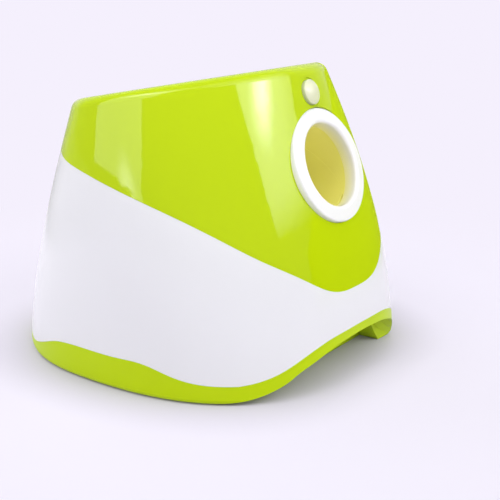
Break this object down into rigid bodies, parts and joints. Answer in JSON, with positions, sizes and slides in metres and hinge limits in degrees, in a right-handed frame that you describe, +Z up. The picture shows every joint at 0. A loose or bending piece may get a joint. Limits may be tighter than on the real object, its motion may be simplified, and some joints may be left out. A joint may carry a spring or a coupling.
{
  "type": "automatic dog ball launcher",
  "caption": "Battery-powered pet ball launcher: hopper in the top, tilted launch ring in the front, counter-rotating wheels inside, push button and arched base.",
  "frame": {"origin": "under the middle of the body, on the surface the rubber feet stand on", "axes": "+Z up, the launch ring faces -Y, +X to the right of someone who faces the ring"},
  "size_m": [0.268, 0.2833, 0.2193],
  "materials": {
    "lime_abs": "glossy moulded ABS",
    "white_abs": "glossy moulded ABS",
    "ring_white": "glossy moulded ABS",
    "ivory_button": "satin moulded ABS",
    "olive_abs": "satin moulded ABS",
    "black_abs": "fine-textured moulding",
    "rubber_black": "matt moulded rubber",
    "tyre_rubber": "matt polyurethane tread",
    "steel": "zinc-plated steel",
    "motor_steel": "nickel-plated can",
    "spring_steel": "drawn spring wire",
    "circuit_board": "solder mask",
    "cell_jacket": "printed film sleeve",
    "contact_metal": "plated contact strip",
    "header_white": "nylon housing"
  },
  "bodies": {
    "case": {"ball_switch": "black_abs", "base": "lime_abs", "base_screws": "steel", "battery_box": "black_abs", "battery_cells": "cell_jacket", "battery_contacts": "contact_metal", "battery_springs": "spring_steel", "board_capacitors": "cell_jacket", "board_chips": "black_abs", "board_connectors": "header_white", "board_screws": "steel", "body_shell": "white_abs", "button_board": "circuit_board", "button_screws": "steel", "button_spring": "spring_steel", "button_switch": "black_abs", "buzzer": "black_abs", "control_board": "circuit_board", "door_hinge_pin": "steel", "feed_gearmotor": "black_abs", "frame_screws": "steel", "hopper": "lime_abs", "inlet_nut": "steel", "launch_barrel": "olive_abs", "launch_ring": "ring_white", "left_motor": "motor_steel", "motor_screws": "steel", "muzzle_sleeve": "olive_abs", "power_inlet": "black_abs", "right_motor": "motor_steel", "ring_screws": "steel", "rubber_feet": "rubber_black", "top_shell": "lime_abs"},
    "left_wheel": {"left_wheel_hub": "black_abs", "left_wheel_tyre": "tyre_rubber", "left_motor_shaft": "steel"},
    "right_wheel": {"right_wheel_hub": "black_abs", "right_wheel_tyre": "tyre_rubber", "right_motor_shaft": "steel"},
    "feed": {"feed_arm": "header_white", "feed_shaft": "steel"},
    "switch_lever": {"ball_switch_lever": "header_white"},
    "button": {"power_button": "ivory_button"},
    "door": {"battery_door": "white_abs", "door_screw": "steel"}
  },
  "joints": [
    {"name": "left_wheel_spin", "type": "hinge", "parent": "case", "child": "left_wheel", "pos_m": [-0.051, -0.02971, 0.11925], "axis": [0, -0.3665, -0.9304], "continuous": true},
    {"name": "right_wheel_spin", "type": "hinge", "parent": "case", "child": "right_wheel", "pos_m": [0.051, -0.02971, 0.11925], "axis": [0, 0.3665, 0.9304], "continuous": true},
    {"name": "feed_arm_swing", "type": "hinge", "parent": "case", "child": "feed", "pos_m": [0, 0.03305, 0.12032], "axis": [-1, 0, 0], "range_deg": [0, 25]},
    {"name": "ball_switch_swing", "type": "hinge", "parent": "case", "child": "switch_lever", "pos_m": [0, -0.03174, 0.08135], "axis": [-1, 0, 0], "range_deg": [0, 8], "stiffness_Nm_per_rad": 0.002, "springref_deg": -5.73},
    {"name": "button_press", "type": "slide", "parent": "case", "child": "button", "axis": [0, 0.9425, -0.3343], "range_m": [0, 0.002], "stiffness_N_per_m": 500, "springref_m": -0.002, "deforming": ["button_spring"]},
    {"name": "battery_door_swing", "type": "hinge", "parent": "case", "child": "door", "pos_m": [0, 0.13484, 0.02328], "axis": [-1, 0, 0], "range_deg": [0, 105]}
  ]
}
